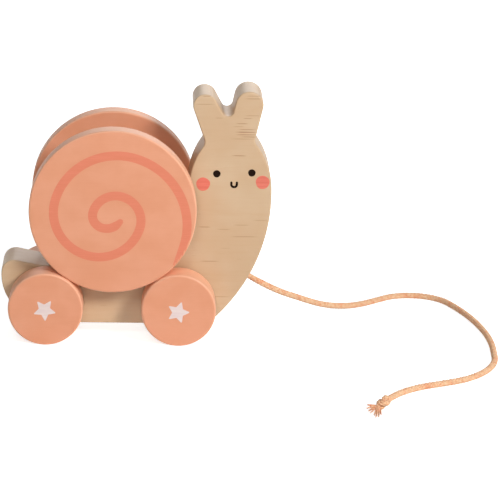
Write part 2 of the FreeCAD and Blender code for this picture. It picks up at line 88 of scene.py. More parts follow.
# The spiral is a chain of arcs that touch smoothly, clockwise from its inner end: radius, turn.
SPIRAL_ARCS = [
    (40.0 * MM, 6), (9.5 * MM, 60), (7.9 * MM, 90), (14.0 * MM, 90), (15.5 * MM, 90),
    (25.4 * MM, 90), (27.6 * MM, 90), (38.1 * MM, 90), (43.2 * MM, 90), (400.0 * MM, 6),
]
SPIRAL_TIP = 6.0 * MM
SPIRAL_STEP = 0.8 * MM
STAR_RADIUS = 6.8 * MM
STAR_WAIST = 0.52
STARS = {"front": (1.0, Vector((-0.3, -0.9)) * MM), "rear": (-87.0, Vector((-0.4, -0.2)) * MM)}
EYES = [(61.9 * MM, 94.9 * MM), (82.9 * MM, 95.7 * MM)]
EYE_RADIUS = 2.25 * MM
CHEEKS = [(53.8 * MM, 88.4 * MM), (89.5 * MM, 89.9 * MM)]
CHEEK_RADIUS = 4.15 * MM
SMILE_CENTRE = (72.4 * MM, 88.4 * MM)
SMILE_RADIUS = 1.65 * MM
SMILE_ARM = 1.9 * MM
SMILE_WIDTH = 1.4 * MM

# ---------------------------------------------------------------- cord
CORD_CHAIN = ["cord_lead", "cord_drop", "cord_far_bend", "cord_far_side", "cord_near_side",
              "cord_near_bend", "cord_tail"]
CORD_JOINTS = ["cord_swing", "cord_lift", "cord_bend_1", "cord_bend_2", "cord_bend_3",
               "cord_bend_4", "cord_bend_5"]
CORD_RADIUS = 1.7 * MM
TRACE_STEP = 1.5 * MM
BRAID_STEP = 0.25 * MM
# The braid is snug in its hole and a little fuller outside it.
BRAID_RADIUS = 1.86 * MM
BRAID_SWELL = 8 * MM
BRAID_PITCH = 9.5 * MM
BRAID_YARNS_EACH_WAY = 4
YARN_SIDES = 8
CORE_SIDES = 10
# Shares of the cord's radius: how far out a yarn lies and weaves, its half width and half thickness,
# and the core's radius.
YARN_REACH = 0.70
YARN_WEAVE = 0.11
YARN_HALF_WIDTH = 0.45
YARN_HALF_THICKNESS = 0.26
CORE_REACH = 0.62
# How pale each yarn is, for the yarns that wind to the left (1) and to the right (-1).
YARN_TINTS = {1: (0.0, 0.7, 0.3, 1.0), -1: (0.8, 0.1, 0.5, 0.9)}
# The knot: the cord's radius in it, its scale, lean and flattening, how many stretches its curve has,
# how high above the floor the cord leaves it, and over how many steps of the braid it tightens.
KNOT_RADIUS = 1.55 * MM
KNOT_SIZE = 1.42 * MM
KNOT_TILT = math.radians(38)
KNOT_FLATNESS = 0.25
KNOT_POINTS = 26
KNOT_EXIT_HEIGHT = 2.6 * MM
TIGHTEN_STEPS = 12
# The wisps of the frayed end: degrees to the left of the way the cord ends, and how far the tip rises
# and the wisp's length in millimetres.
WISPS = [(-54, 1.2, 5.2), (-45, -0.6, 6.2), (-36, -2.2, 6.0), (-12, -2.5, 8.0), (8, -2.6, 10.4),
         (14, -2.8, 12.6), (20, -2.9, 11.6), (27, -2.6, 8.2)]
FIBRES_PER_WISP = 15
# A wisp's radius at its root, how far its fibres stray at the tip, and how far to each side of the
# cord's end the outermost wisps start.
WISP_RADIUS = 0.62 * MM
WISP_SPREAD = 0.2 * MM
WISP_ROOT_SPREAD = 1.5 * MM


# ---------------------------------------------------------------- mesh helpers
def mesh_object(name, vertices, faces, material, smooth=True):
    """A new mesh object at the origin, from vertices and outward faces."""
    mesh = bpy.data.meshes.new(name)
    mesh.from_pydata([tuple(v) for v in vertices], [], faces)
    mesh.validate()
    mesh.polygons.foreach_set("use_smooth", [smooth] * len(mesh.polygons))
    mesh.materials.append(material)
    piece = bpy.data.objects.new(name, mesh)
    bpy.context.scene.collection.objects.link(piece)
    return piece


def tube_faces(rings, sides, first=0):
    """Faces of a closed tube whose rings of vertices follow each other from index first."""
    faces = []
    for ring in range(rings - 1):
        for side in range(sides):
            a = first + ring * sides + side
            b = first + ring * sides + (side + 1) % sides
            faces.append((a, b, b + sides, a + sides))
    last = first + (rings - 1) * sides
    faces.append(tuple(first + side for side in reversed(range(sides))))
    faces.append(tuple(last + side for side in range(sides)))
    return faces


def paint_attribute(piece, name, values):
    """Stores one number per vertex for the material to read."""
    attribute = piece.data.attributes.new(name, "FLOAT", "POINT")
    attribute.data.foreach_set("value", values)


# ---------------------------------------------------------------- material helpers
class Nodes:
    """The node tree of a material or a world.  Most methods add a node and return its socket."""

    def __init__(self, owner, surface="Principled BSDF"):
        self.owner = owner
        owner.use_nodes = True
        self.tree = owner.node_tree
        self.surface = self.tree.nodes[surface]

    def add(self, kind, inputs, output=0, **settings):
        node = self.tree.nodes.new("ShaderNode" + kind)
        for key, value in settings.items():
            setattr(node, key, value)
        self.fill(node, inputs)
        return node.outputs[output]

    def fill(self, node, inputs):
        for key, value in inputs.items():
            if isinstance(value, bpy.types.NodeSocket):
                self.tree.links.new(value, node.inputs[key])
            else:
                node.inputs[key].default_value = value

    def finish(self, **inputs):
        """Sets the surface's inputs, with underscores for spaces, and returns the owner."""
        named = {key.replace("_", " "): value for key, value in inputs.items()}
        self.fill(self.surface, named)
        return self.owner

    def maths(self, operation, *values):
        return self.add("Math", dict(enumerate(values)), operation=operation)

    def place(self):
        """The point on the object, in millimetres of the row frame."""
        where = self.add("TexCoord", {}, output="Object")
        return self.scaled(where, (1000, 1000, 1000))

    def scaled(self, vector, factors):
        return self.add("VectorMath", {0: vector, 1: factors}, operation="MULTIPLY")

    def moved(self, vector, offset):
        return self.add("VectorMath", {0: vector, 1: offset}, operation="ADD")

    def parts(self, vector):
        node = self.tree.nodes.new("ShaderNodeSeparateXYZ")
        self.tree.links.new(vector, node.inputs[0])
        return node.outputs

    def noise(self, vector, detail=2.0, roughness=0.5):
        inputs = {"Vector": vector, "Scale": 1.0, "Detail": detail, "Roughness": roughness}
        return self.add("TexNoise", inputs)

    def between(self, value, low, high):
        """0 where value is at low and 1 at high, smooth between them."""
        inputs = {"Value": value, "From Min": low, "From Max": high}
        return self.add("MapRange", inputs, interpolation_type="SMOOTHSTEP")

    def colour(self, factor, first, second):
        inputs = {"Factor": factor, "A": first, "B": second}
        node = self.tree.nodes.new("ShaderNodeMix")
        node.data_type = "RGBA"
        sockets = {socket.identifier: socket for socket in node.inputs}
        for key, identifier in (("Factor", "Factor_Float"), ("A", "A_Color"), ("B", "B_Color")):
            value = inputs[key]
            if isinstance(value, bpy.types.NodeSocket):
                self.tree.links.new(value, sockets[identifier])
            else:
                sockets[identifier].default_value = value
        return next(s for s in node.outputs if s.identifier == "Result_Color")

    def bump(self, height, distance, strength=1.0):
        inputs = {"Height": height, "Distance": distance, "Strength": strength}
        return self.add("Bump", inputs)


def material_nodes(name):
    return Nodes(bpy.data.materials.new(name))


def srgb(red, green, blue):
    """A colour given as it looks on screen, 0 to 255, as the linear colour that nodes use."""
    def linear(value):
        value = value / 255
        return value / 12.92 if value <= 0.04045 else ((value + 0.055) / 1.055) ** 2.4
    return (linear(red), linear(green), linear(blue), 1.0)


# ---------------------------------------------------------------- materials
# The growth rings run round the tree's middle, which lies outside the slab.  In millimetres.
TREE_DEPTH = 58.0
TREE_HEIGHT = 84.0
RING_SPACING = 6.2
RING_WANDER = 26.0
# Short dark grain marks on the body: middle x, height and half length in millimetres, and strength.
GRAIN_MARKS = [
    (55.3, 142.6, 3.5, 0.7), (54.0, 137.6, 7.0, 0.5), (83.7, 142.9, 6.5, 0.5),
    (83.0, 141.3, 6.0, 0.6), (82.8, 131.0, 6.0, 0.4), (79.7, 129.2, 3.5, 0.6),
    (62.7, 129.3, 3.0, 0.4), (76.3, 126.0, 4.5, 0.7), (74.5, 124.2, 4.0, 0.4),
    (79.5, 122.4, 6.5, 0.7), (79.0, 120.8, 8.0, 1.0), (79.5, 119.2, 8.0, 0.9),
    (81.0, 117.9, 6.5, 0.8), (77.0, 116.6, 9.0, 0.5), (75.0, 106.2, 5.5, 0.8),
    (77.4, 63.0, 6.0, 0.4), (55.0, 61.6, 4.5, 0.7), (66.8, 60.2, 5.0, 0.4),
    (88.9, 66.1, 5.5, 0.4), (79.4, 55.7, 10.0, 0.5), (58.4, 40.0, 7.0, 0.6),
    (65.4, 17.5, 6.5, 0.5),
]


def bare_wood():
    """Pale sanded wood with its grain along X: growth rings, streaks and short dark marks."""
    n = material_nodes("bare_wood")
    place = n.place()
    x, y, z = n.parts(place)
    wander = n.noise(n.scaled(place, (0.012, 0.05, 0.05)), detail=3.0)
    wander = n.maths("MULTIPLY", n.maths("SUBTRACT", wander, 0.5), RING_WANDER)
    depth = n.maths("SUBTRACT", y, TREE_DEPTH)
    height = n.maths("SUBTRACT", z, TREE_HEIGHT)
    squares = n.maths("ADD", n.maths("POWER", depth, 2.0), n.maths("POWER", height, 2.0))
    ring = n.maths("ADD", n.maths("SQRT", squares), wander)
    ring = n.maths("FRACT", n.maths("DIVIDE", ring, RING_SPACING))
    late = n.between(ring, 0.35, 0.92)
    late = n.maths("MULTIPLY", late, n.between(ring, 1.0, 0.94))

    streaks = n.noise(n.scaled(place, (0.022, 0.30, 0.42)), detail=4.0, roughness=0.6)
    fibres = n.noise(n.scaled(place, (0.10, 3.6, 3.6)), detail=3.0, roughness=0.7)
    pale = srgb(207, 178, 143)
    tan = srgb(202, 169, 132)
    blotches = n.noise(n.scaled(place, (0.035, 0.05, 0.045)), detail=2.0)
    base = n.colour(n.between(blotches, 0.35, 0.65), tan, pale)
    base = n.colour(n.maths("MULTIPLY", n.between(streaks, 0.40, 0.75), 0.30), base,
                    srgb(199, 162, 124))
    base = n.colour(n.maths("MULTIPLY", late, 0.10), base, srgb(196, 156, 116))
    base = n.colour(n.maths("MULTIPLY", n.between(fibres, 0.45, 0.75), 0.12), base,
                    srgb(193, 154, 115))

    marks = scattered_marks(n, place)
    for mark in GRAIN_MARKS:
        marks = n.maths("MAXIMUM", marks, grain_mark(n, x, z, fibres, *mark))
    base = n.colour(marks, base, srgb(158, 108, 68))

    ends = n.maths("ABSOLUTE", n.parts(n.add("NewGeometry", {}, output="Normal"))[0])
    pores = n.between(n.noise(n.scaled(place, (0.9, 2.6, 2.6)), detail=2.0), 0.52, 0.72)
    end_grain = n.maths("MULTIPLY", n.between(ends, 0.55, 0.95), pores)
    base = n.colour(n.maths("MULTIPLY", end_grain, 0.35), base, srgb(182, 138, 98))

    relief = n.maths("SUBTRACT", fibres, n.maths("MULTIPLY", marks, 0.8))
    relief = n.maths("SUBTRACT", relief, n.maths("MULTIPLY", late, 0.25))
    rough = n.maths("ADD", n.maths("MULTIPLY", fibres, 0.16), 0.36)
    return n.finish(
        Base_Color=base, Roughness=rough, Specular_IOR_Level=0.7,
        Normal=n.bump(relief, 0.05 * MM, 0.6),
    )


def grain_mark(n, x, z, fibres, middle, height, half_length, strength):
    """One thin dark dash along the grain, ragged by the fibres."""
    along = n.maths("ABSOLUTE", n.maths("SUBTRACT", x, middle))
    across = n.maths("ABSOLUTE", n.maths("SUBTRACT", z, height))
    across = n.maths("ADD", across, n.maths("MULTIPLY", fibres, 0.45))
    length = n.between(along, half_length, half_length * 0.3)
    width = n.between(across, 0.62, 0.28)
    return n.maths("MULTIPLY", n.maths("MULTIPLY", length, width), strength)


def scattered_marks(n, place):
    """Faint short dashes in loose clusters all over the wood."""
    dashes = n.noise(n.scaled(place, (0.11, 0.7, 2.0)), detail=1.0)
    dashes = n.between(dashes, 0.70, 0.78)
    clusters = n.noise(n.moved(n.scaled(place, (0.03, 0.06, 0.05)), (7.0, 3.0, 1.0)))
    clusters = n.between(clusters, 0.50, 0.62)
    return n.maths("MULTIPLY", n.maths("MULTIPLY", dashes, clusters), 0.30)


def painted_wood(name, centre, radius, edge_round):
    """Salmon stain on a turned disc, with a painted highlight: its rim and rounded edge are painted
    paler than the faces.
    """
    n = material_nodes(name)
    place = n.place()
    x, y, z = n.parts(place)
    across = n.maths("SUBTRACT", x, centre.x / MM)
    height = n.maths("SUBTRACT", z, centre.z / MM)
    squares = n.maths("ADD", n.maths("POWER", across, 2.0), n.maths("POWER", height, 2.0))
    reach = n.maths("SQRT", squares)
    flat_reach = (radius - edge_round) / MM
    # The rim and its rounded edge: where the painted highlight goes.
    rim = n.between(reach, flat_reach + 0.1, radius / MM - 0.1)

    cloud = n.noise(n.scaled(place, (0.045, 0.08, 0.06)), detail=3.0)
    grain = n.noise(n.scaled(place, (0.05, 1.1, 1.3)), detail=4.0, roughness=0.65)
    speck = n.noise(n.scaled(place, (1.6, 1.6, 1.6)), detail=2.0)
    base = n.colour(n.between(cloud, 0.3, 0.7), srgb(228, 156, 120), srgb(233, 163, 129))
    base = n.colour(n.maths("MULTIPLY", n.between(grain, 0.45, 0.8), 0.22), base,
                    srgb(221, 147, 110))
    base = n.colour(n.maths("MULTIPLY", n.between(speck, 0.62, 0.8), 0.25), base,
                    srgb(238, 178, 148))
    # Painted highlight: all the way round, the rim and its rounded edge are mixed towards a paler
    # salmon, mottled by the specks, in place of the light they catch.
    base = n.colour(n.maths("MULTIPLY", rim, n.between(speck, 0.05, 0.45)), base,
                    srgb(245, 184, 150))
    relief = n.maths("ADD", grain, n.maths("MULTIPLY", speck, 0.25))
    rough = n.maths("ADD", n.maths("MULTIPLY", grain, 0.18), 0.40)
    return n.finish(
        Base_Color=base, Roughness=rough, Specular_IOR_Level=0.3,
        Normal=n.bump(relief, 0.06 * MM, 0.5),
    )


def dowel_wood():
    """Plain beech dowel with its grain along Y."""
    n = material_nodes("dowel_wood")
    place = n.place()
    streaks = n.noise(n.scaled(place, (1.1, 0.05, 1.1)), detail=3.0)
    flecks = n.noise(n.scaled(place, (4.0, 0.5, 4.0)), detail=2.0)
    base = n.colour(n.between(streaks, 0.3, 0.7), srgb(205, 165, 122), srgb(222, 188, 148))
    base = n.colour(n.maths("MULTIPLY", n.between(flecks, 0.55, 0.7), 0.5), base,
                    srgb(176, 128, 86))
    return n.finish(Base_Color=base, Roughness=0.55, Normal=n.bump(flecks, 0.04 * MM, 0.5))


def print_paint(name, first, second, roughness=0.5, shine=0.3):
    """Printed paint that lets the grain of the wood below show a little."""
    n = material_nodes(name)
    place = n.place()
    grain = n.noise(n.scaled(place, (0.06, 1.2, 1.5)), detail=4.0, roughness=0.65)
    speck = n.noise(n.scaled(place, (2.4, 2.4, 2.4)), detail=2.0)
    base = n.colour(n.between(grain, 0.35, 0.7), first, second)
    base = n.colour(n.maths("MULTIPLY", n.between(speck, 0.6, 0.8), 0.3), base, second)
    relief = n.maths("ADD", grain, n.maths("MULTIPLY", speck, 0.4))
    return n.finish(
        Base_Color=base, Roughness=roughness, Specular_IOR_Level=shine,
        Normal=n.bump(relief, 0.04 * MM, 0.5),
    )


def cord_cotton(name, dark, mid, light):
    """Dyed cotton: each yarn has its own tint, with fine fibres along it and soft fuzz."""
    n = material_nodes(name)
    place = n.place()
    tint = n.add("Attribute", {}, output="Fac", attribute_name="tint")
    blotch = n.noise(n.scaled(place, (0.16, 0.16, 0.16)), detail=3.0)
    fibre = n.noise(n.scaled(place, (5.0, 5.0, 5.0)), detail=3.0, roughness=0.7)
    fleck = n.noise(n.scaled(place, (1.1, 1.1, 1.1)), detail=2.0)
    base = n.colour(n.maths("MULTIPLY", tint, 0.6), mid, light)
    base = n.colour(n.maths("MULTIPLY", n.between(blotch, 0.52, 0.68), 0.45), base, dark)
    base = n.colour(n.maths("MULTIPLY", n.between(fibre, 0.5, 0.8), 0.45), base, light)
    base = n.colour(n.maths("MULTIPLY", n.between(fleck, 0.58, 0.66), 0.8), base, dark)
    return n.finish(
        Base_Color=base, Roughness=0.85, Sheen_Weight=0.05, Sheen_Roughness=0.5,
        Specular_IOR_Level=0.15, Normal=n.bump(fibre, 0.12 * MM, 0.7),
    )


# ---------------------------------------------------------------- prints as thin layers of paint
# Which way a print's x runs, and which way its face looks along Y.  Turned prints read the same
# from the left as from the right; mirrored ones keep their places along X.
RIGHT = (1, -1)
LEFT_TURNED = (-1, 1)
LEFT_MIRRORED = (1, 1)


def rim_drop(reach):
    """How far the shell's face has rounded away at a distance from its centre."""
    beyond = min(max(reach - (SHELL_RADIUS - SHELL_ROUND), 0.0), SHELL_ROUND)
    return SHELL_ROUND - math.sqrt(SHELL_ROUND**2 - beyond**2)


def layer(name, outline, material):
    """A flat patch of paint from a star-shaped outline of (x, z) points round their middle."""
    count = len(outline)
    middle = sum(outline, Vector((0, 0))) / count
    inner = [middle + (point - middle) * 0.93 for point in outline]
    rings = [(outline, PRINT_SINK), (outline, -0.4 * PRINT_RAISE), (inner, -PRINT_RAISE)]
    vertices = [(p.x, depth, p.y) for ring, depth in rings for p in ring]
    faces = tube_faces(len(rings), count)
    return vertices, faces, name, material


def ribbon(path, width, lanes=6, tip=0.0):
    """Vertices and faces of a closed painted stroke along (x, z) points, with round ends.

    Its first stretch, tip long, widens from half the width to all of it.
    """
    run = [0.0]
    for here, there in zip(path, path[1:]):
        run.append(run[-1] + (there - here).length)
    across = []
    for index, point in enumerate(path):
        ahead = path[min(index + 1, len(path) - 1)] - path[max(index - 1, 0)]
        side = Vector((-ahead.y, ahead.x)).normalized()
        full = width / 2
        if run[index] < tip:
            full *= 0.5 + 0.5 * run[index] / tip
        to_end = min(run[index], run[-1] - run[index], full)
        half = math.sqrt(max(full**2 - (full - to_end) ** 2, 1e-12))
        across.append([point + side * half * (2 * lane / lanes - 1) for lane in range(lanes + 1)])
    vertices = []
    for row in across:
        for lane, point in enumerate(row):
            proud = PRINT_RAISE * (0.4 if lane in (0, lanes) else 1.0)
            vertices.append((point.x, -proud, point.y))
        for point in reversed(row):
            vertices.append((point.x, PRINT_SINK, point.y))
    return vertices, tube_faces(len(path), 2 * (lanes + 1))


def arc_walk(start, heading, arcs, step):
    """Points along arcs that touch smoothly, turning clockwise as seen from the -Y side."""
    points = [start]
    here = start
    for radius, turn in arcs:
        angle = math.radians(turn)
        count = max(2, round(radius * angle / step))
        centre = here + Vector((math.sin(heading), -math.cos(heading))) * radius
        for number in range(1, count + 1):
            swung = heading - angle * number / count
            points.append(centre - Vector((math.sin(swung), -math.cos(swung))) * radius)
        here = points[-1]
        heading -= angle
    return points


def spiral_print(material):
    """The shell's spiral, from its round inner end until it runs off the rim."""
    limit = SHELL_RADIUS - 0.3 * SHELL_ROUND
    path = arc_walk(SPIRAL_START, SPIRAL_FIRST_HEADING, SPIRAL_ARCS, SPIRAL_STEP)
    path = [p for p in path if p.length < limit + 0.45 * SPIRAL_WIDTH]
    vertices, faces = ribbon(path, SPIRAL_WIDTH, tip=SPIRAL_TIP)
    wrapped = []
    for x, depth, z in vertices:
        reach = math.hypot(x, z)
        shrink = min(1.0, limit / max(reach, 1e-9))
        wrapped.append((x * shrink, depth + rim_drop(min(reach, limit)), z * shrink))
    return wrapped, faces, "spiral_print", material


def star_print(turn, material):
    """A five-pointed star with slightly softened points."""
    outline = []
    for point in range(5):
        for step, reach in ((-0.5, STAR_WAIST), (-0.045, 0.955), (0.0, 0.985), (0.045, 0.955)):
            angle = math.radians(turn + 72 * (point + step))
            outline.append(Vector((math.cos(angle), math.sin(angle))) * STAR_RADIUS * reach)
    return layer("star_print", outline, material)


def dot_print(name, radius, wobble, material):
    """A round dab of paint, not quite a true circle."""
    outline = []
    for number in range(48):
        angle = math.tau * number / 48
        reach = radius * (1 + wobble * math.sin(3 * angle + 0.7) + 0.6 * wobble * math.sin(5 * angle))
        outline.append(Vector((math.cos(angle), math.sin(angle))) * reach)
    return layer(name, outline, material)


def smile_print(material):
    """A small U-shaped smile."""
    arm = [Vector((-SMILE_RADIUS, SMILE_ARM * (1 - k / 6))) for k in range(6)]
    bow = []
    for number in range(25):
        angle = math.pi + math.pi * number / 24
        bow.append(Vector((math.cos(angle), math.sin(angle))) * SMILE_RADIUS)
    other = [Vector((-point.x, point.y)) for point in reversed(arm)]
    vertices, faces = ribbon(arm + bow + other, SMILE_WIDTH, lanes=4)
    return vertices, faces, "smile_print", material


def put_print(patch, suffix, body, centre, face_y, side):
    """Lays a patch of paint, drawn as seen from the right, on a face at face_y.

    The side says which way the patch's x runs and which way its face looks along Y.
    """
    vertices, faces, name, material = patch
    across, outward = side
    placed = [
        Vector((centre[0] + across * x, face_y - outward * depth, centre[1] + z))
        for x, depth, z in vertices
    ]
    if across * outward > 0:
        faces = [tuple(reversed(face)) for face in faces]
    piece = mesh_object(f"{name}_{suffix}", placed, faces, material, smooth=False)
    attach(piece, body)
    return piece


def make_prints():
    """Spirals, stars and faces on both sides of the toy."""
    spiral_paint = print_paint("spiral_paint", srgb(226, 131, 100), srgb(231, 137, 108))
    star_paint = print_paint("star_paint", srgb(232, 213, 210), srgb(240, 224, 218))
    eye_paint = print_paint("eye_paint", srgb(26, 14, 8), srgb(36, 22, 14), 0.6, 0.05)
    cheek_paint = print_paint("cheek_paint", srgb(220, 113, 94), srgb(230, 127, 108))

    shell_centre = (SHELL_CENTRE.x, SHELL_CENTRE.z)
    spiral = spiral_print(spiral_paint)
    put_print(spiral, "right", "shell", shell_centre, SHELL_BOX[0].y, RIGHT)
    put_print(spiral, "left", "shell", shell_centre, -SHELL_BOX[0].y, LEFT_TURNED)

    for end, (turn, offset) in STARS.items():
        axle = AXLE_CENTRES[end]
        wheelset = end + "_wheelset"
        star = star_print(turn, star_paint)
        near = (axle.x + offset.x, axle.z + offset.y)
        far = (axle.x - offset.x, axle.z + offset.y)
        put_print(star, end + "_right", wheelset, near, WHEEL_BOX[0].y, RIGHT)
        put_print(star, end + "_left", wheelset, far, -WHEEL_BOX[0].y, LEFT_TURNED)

    for hand, side, face_y in (("right", RIGHT, BODY_BOX[0].y), ("left", LEFT_MIRRORED, BODY_BOX[1].y)):
        for which, place in zip(("rear", "front"), EYES):
            eye = dot_print("eye", EYE_RADIUS, 0.012, eye_paint)
            put_print(eye, f"{which}_{hand}", "body", place, face_y, side)
        for which, place in zip(("rear", "front"), CHEEKS):
            cheek = dot_print("cheek", CHEEK_RADIUS, 0.02, cheek_paint)
            put_print(cheek, f"{which}_{hand}", "body", place, face_y, side)
        put_print(smile_print(eye_paint), hand, "body", SMILE_CENTRE, face_y, side)


# ---------------------------------------------------------------- cord's centre line
def recentred(tree, point, direction):
    """The middle of a tube near point, and the tube's half width there, by looking sideways."""
    sideways = direction.cross(UP).normalized()
    upright = sideways.cross(direction)
    widest = 0.0
    for axis in (sideways, upright):
        ahead = tree.ray_cast(point, axis)[3]
        behind = tree.ray_cast(point, -axis)[3]
        if ahead is None or behind is None:
            return None, 0.0
        point = point + axis * (ahead - behind) / 2
        widest = max(widest, (ahead + behind) / 2)
    return point, widest


def trace(node, start, heading, stop=None):
    """Points along the middle of a length of cord, from start until it ends or thickens."""
    tree = BVHTree.FromPolygons(
        [v.co for v in NODES[node].data.vertices], [p.vertices for p in NODES[node].data.polygons]
    )
    points = [start]
    while True:
        guess = points[-1] + heading * TRACE_STEP
        if stop is not None and (stop - guess).dot(heading) < TRACE_STEP:
            return points
        point, width = recentred(tree, guess, heading)
        if point is None or width > 1.15 * CORD_RADIUS or width < 0.85 * CORD_RADIUS:
            return points
        heading = (point - points[-1]).normalized()
        points.append(point)


def cord_line():
    """The cord's whole centre line as a list of points."""
    hinges = [Vector(JOINTS[name]["pos_m"]) for name in CORD_JOINTS]
    low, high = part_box("cord_plug")
    inside = Vector(((low.x + high.x) / 2, 0.0, (low.z + high.z) / 2))
    line = [inside, inside.lerp(hinges[0], 0.5)]
    for number, node in enumerate(CORD_CHAIN):
        last = number == len(CORD_CHAIN) - 1
        heading = (hinges[number] - line[-1]).normalized()
        line += trace(node, hinges[number], heading, None if last else hinges[number + 1])
    return line


def smooth_curve(points, step):
    """Evenly spaced points on a Catmull-Rom curve through points."""
    dense = []
    padded = [points[0] * 2 - points[1]] + points + [points[-1] * 2 - points[-2]]
    for a, b, c, d in zip(padded, padded[1:], padded[2:], padded[3:]):
        for number in range(12):
            t = number / 12
            dense.append(0.5 * (
                b * 2 + (c - a) * t + (a * 2 - b * 5 + c * 4 - d) * t**2
                + (b * 3 - a - c * 3 + d) * t**3
            ))
    dense.append(points[-1])
    even = [dense[0]]
    owed = step
    for here, there in zip(dense, dense[1:]):
        length = (there - here).length
        while length >= owed:
            even.append(here.lerp(there, owed / length))
            owed += step
        owed -= length
    return even


def carried_frames(points):
    """(point, tangent, side, up) along a curve, turning as little as possible about it."""
    frames = []
    side = (points[1] - points[0]).cross(UP).normalized()
    for index, point in enumerate(points):
        ahead = points[min(index + 1, len(points) - 1)]
        behind = points[max(index - 1, 0)]
        tangent = (ahead - behind).normalized()
        side = (side - tangent * side.dot(tangent)).normalized()
        frames.append((point, tangent, side, tangent.cross(side)))
    return frames


# ---------------------------------------------------------------- braid, knot and frayed end
def yarn(frames, first_index, direction, number, radius_at):
    """Vertices of one yarn that winds round the cord and passes over and under the others."""
    vertices = []
    centres = []
    outwards = []
    for offset, (point, _, side, upright) in enumerate(frames):
        along = (first_index + offset) * BRAID_STEP
        wind = math.tau * along / BRAID_PITCH
        angle = direction * wind + math.tau * number / BRAID_YARNS_EACH_WAY
        weave = direction * math.cos(BRAID_YARNS_EACH_WAY * wind)
        outward = side * math.cos(angle) + upright * math.sin(angle)
        radius = radius_at(first_index + offset)
        centres.append(point + outward * radius * (YARN_REACH + YARN_WEAVE * weave))
        outwards.append((outward, radius))
    for index, (centre, (outward, radius)) in enumerate(zip(centres, outwards)):
        ahead = centres[min(index + 1, len(centres) - 1)]
        behind = centres[max(index - 1, 0)]
        across = (ahead - behind).normalized().cross(outward)
        for corner in range(YARN_SIDES):
            turn = math.tau * corner / YARN_SIDES
            vertices.append(centre + across * (YARN_HALF_WIDTH * radius * math.cos(turn))
                            + outward * (YARN_HALF_THICKNESS * radius * math.sin(turn)))
    return vertices


def braid(name, frames, first_index, radius_at, material, draw):
    """A stretch of braided cord: yarns both ways round a soft core."""
    vertices = []
    faces = []
    tints = []
    for direction in (1, -1):
        for number in range(BRAID_YARNS_EACH_WAY):
            strand = yarn(frames, first_index, direction, number, radius_at)
            faces += tube_faces(len(frames), YARN_SIDES, len(vertices))
            vertices += strand
            tints += [YARN_TINTS[direction][number]] * len(strand)
    first = len(vertices)
    for offset, (point, _, side, upright) in enumerate(frames):
        radius = CORE_REACH * radius_at(first_index + offset)
        for corner in range(CORE_SIDES):
            turn = math.tau * corner / CORE_SIDES
            vertices.append(point + (side * math.cos(turn) + upright * math.sin(turn)) * radius)
            tints.append(0.0)
    faces += tube_faces(len(frames), CORE_SIDES, first)
    add_fuzz(frames, first_index, radius_at, vertices, faces, tints, draw)
    # Nothing sinks into the floor.
    for vertex in vertices:
        vertex.z = max(vertex.z, FLOOR_HEIGHT)
    piece = mesh_object(name, vertices, faces, material)
    paint_attribute(piece, "tint", tints)
    return piece


def fibre(points, radius, vertices, faces, sides=3):
    """Adds a thin tapered closed tube along points."""
    first = len(vertices)
    for index, (point, _, side, upright) in enumerate(carried_frames(points)):
        thickness = radius * (1 - 0.75 * index / (len(points) - 1))
        for corner in range(sides):
            turn = math.tau * corner / sides
            ring = side * math.cos(turn) + upright * math.sin(turn)
            vertices.append(point + ring * thickness)
    faces += tube_faces(len(points), sides, first)


def add_fuzz(frames, first_index, radius_at, vertices, faces, tints, draw):
    """Short loose fibres that stand off the cord."""
    for offset in range(4, len(frames) - 4, 3):
        point, tangent, side, upright = frames[offset]
        angle = draw.uniform(0, math.tau)
        outward = side * math.cos(angle) + upright * math.sin(angle)
        lean = tangent * draw.uniform(-1.0, 1.0)
        root = point + outward * 0.86 * radius_at(first_index + offset)
        reach = draw.uniform(0.15, 0.45) * MM
        middle = root + (outward * 0.9 + lean) * reach * 0.6
        tip = middle + (outward * 0.3 + lean) * reach * 0.7
        before = len(vertices)
        fibre([root, middle, tip], 0.035 * MM, vertices, faces)
        tints += [1.0] * (len(vertices) - before)


def knot_curve(entry, direction):
    """Points of an open overhand knot on the floor that starts at entry and runs on."""
    left = UP.cross(direction).normalized()
    rise = UP * math.cos(KNOT_TILT) + left * math.sin(KNOT_TILT)
    through = direction.cross(rise)
    centre = entry + direction * 4.4 * KNOT_SIZE + left * 0.8 * KNOT_SIZE
    points = []
    for number in range(KNOT_POINTS + 1):
        t = math.pi + 0.62 + (math.tau - 1.24) * number / KNOT_POINTS
        back = math.sin(t) + 2 * math.sin(2 * t)
        high = math.cos(t) - 2 * math.cos(2 * t)
        deep = -1.15 * math.sin(3 * t)
        away = (rise * high - direction * back + through * deep) * KNOT_SIZE
        points.append(centre + away - UP * away.z * KNOT_FLATNESS)
    lift = FLOOR_HEIGHT + 1.03 * KNOT_RADIUS - min(point.z for point in points)
    points = [point + UP * lift for point in points]
    leave = centre + direction * 3.8 * KNOT_SIZE - left * 1.2 * KNOT_SIZE
    leave.z = FLOOR_HEIGHT + KNOT_EXIT_HEIGHT
    return points + [leave]


def add_wisp(root, heading, length, vertices, faces, draw):
    """A few fibres that leave root together, stay twisted for a while and part at the tip."""
    left = UP.cross(heading).normalized()
    lift = left.cross(heading)
    twist = draw.uniform(0, math.tau)
    for number in range(FIBRES_PER_WISP):
        own = twist + math.tau * number / FIBRES_PER_WISP
        reach = length * draw.uniform(0.75, 1.0)
        stray = draw.uniform(0.3, 1.0)
        points = []
        for step in range(7):
            share = step / 6
            turn = own + 2.2 * share
            ring = left * math.cos(turn) + lift * math.sin(turn)
            width = WISP_RADIUS * (1 - 0.6 * share) + stray * WISP_SPREAD * share**3
            point = root + heading * reach * share + ring * width
            point.z = max(point.z, FLOOR_HEIGHT + 0.15 * MM)
            points.append(point)
        fibre(points, draw.uniform(0.17, 0.26) * MM, vertices, faces, sides=4)


